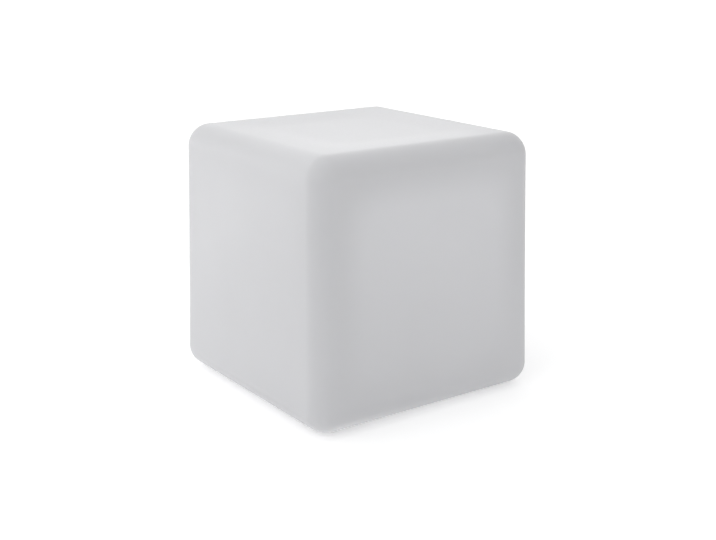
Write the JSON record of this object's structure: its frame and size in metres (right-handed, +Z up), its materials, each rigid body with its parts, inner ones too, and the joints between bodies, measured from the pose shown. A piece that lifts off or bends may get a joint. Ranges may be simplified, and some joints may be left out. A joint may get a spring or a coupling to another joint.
{
  "type": "cube light",
  "caption": "Rounded milky plastic cube that glows from inside: a hollow moulded shell on rubber feet, with a sealed rechargeable light unit screwed into a recess in its underside.",
  "frame": {"origin": "on the floor, under the middle of the cube, at the underside of its feet", "axes": "+Z up; -Y is the front face, the wider one in the picture; -X is the face to its left"},
  "size_m": [0.4074, 0.4074, 0.4],
  "materials": {
    "shell_polyethylene": "milky translucent, smooth with a very fine orange peel, soft sheen",
    "foot_rubber": "matt, slightly worn",
    "brass": "machined, bright",
    "tray_plastic": "moulded, fine texture",
    "grey_silicone": "matt",
    "washer_rubber": "matt",
    "stainless_screw": "turned, satin",
    "clear_dome": "clear, polished",
    "white_board": "white solder mask on aluminium",
    "led_housing": "moulded, glossy",
    "led_gel": "clear gel over phosphor",
    "receiver_black": "moulded, glossy",
    "green_board": "green solder mask",
    "chip_black": "moulded epoxy",
    "connector_nylon": "moulded nylon",
    "cell_can": "nickel-plated can",
    "nickel_strip": "rolled strip, spot-welded",
    "shrink_sleeve": "shrunk tight, glossy",
    "foam": "closed-cell foam",
    "switch_steel": "turned, satin",
    "plated_brass": "nickel-plated",
    "socket_black": "moulded, fine texture",
    "button_steel": "turned face, satin",
    "spring_steel": "drawn wire",
    "cover_silicone": "matt, slightly translucent",
    "vent_plastic": "moulded nylon",
    "membrane": "microporous film",
    "light_pipe": "clear, polished",
    "wire_insulation": "stranded wire, soft insulation"
  },
  "bodies": {
    "housing": {"shell": "shell_polyethylene", "rubber_feet": "foot_rubber", "threaded_inserts": "brass", "base_tray": "tray_plastic", "base_gasket": "grey_silicone", "base_washers": "washer_rubber", "base_screws": "stainless_screw", "light_dome": "clear_dome", "dome_seal": "grey_silicone", "dome_screws": "stainless_screw", "led_board": "white_board", "led_packages": "led_housing", "led_phosphor": "led_gel", "remote_receiver": "receiver_black", "board_spacers": "brass", "led_board_screws": "stainless_screw", "control_board": "green_board", "board_components": "chip_black", "wire_connectors": "connector_nylon", "battery_cells": "cell_can", "cell_tabs": "nickel_strip", "battery_sleeve": "shrink_sleeve", "battery_pad": "foam", "battery_strap": "tray_plastic", "strap_screws": "stainless_screw", "switch_body": "switch_steel", "switch_seal": "washer_rubber", "switch_nut": "plated_brass", "switch_rear_cover": "socket_black", "switch_terminals": "brass", "switch_spring": "spring_steel", "charge_socket": "socket_black", "socket_seal": "washer_rubber", "socket_nut": "plated_brass", "socket_pin": "plated_brass", "socket_contact": "brass", "port_cover_anchor": "cover_silicone", "breather_vent": "vent_plastic", "vent_membrane": "membrane", "vent_nut": "vent_plastic", "status_light_pipe": "light_pipe", "switch_leads": "wire_insulation", "socket_leads": "wire_insulation", "battery_leads": "wire_insulation", "led_leads": "wire_insulation"},
    "button": {"power_button": "button_steel", "button_clip": "spring_steel"},
    "socket_cover": {"port_cover": "cover_silicone"}
  },
  "joints": [
    {"name": "button_press", "type": "slide", "parent": "housing", "child": "button", "axis": [0, 0, 1], "range_m": [0, 0.0015], "stiffness_N_per_m": 600, "springref_m": -0.0015, "deforming": ["switch_spring"]},
    {"name": "cover_fold", "type": "hinge", "parent": "housing", "child": "socket_cover", "pos_m": [0.0316, -0.038, 0.0172], "axis": [0, -1, 0], "range_deg": [0, 140]}
  ]
}
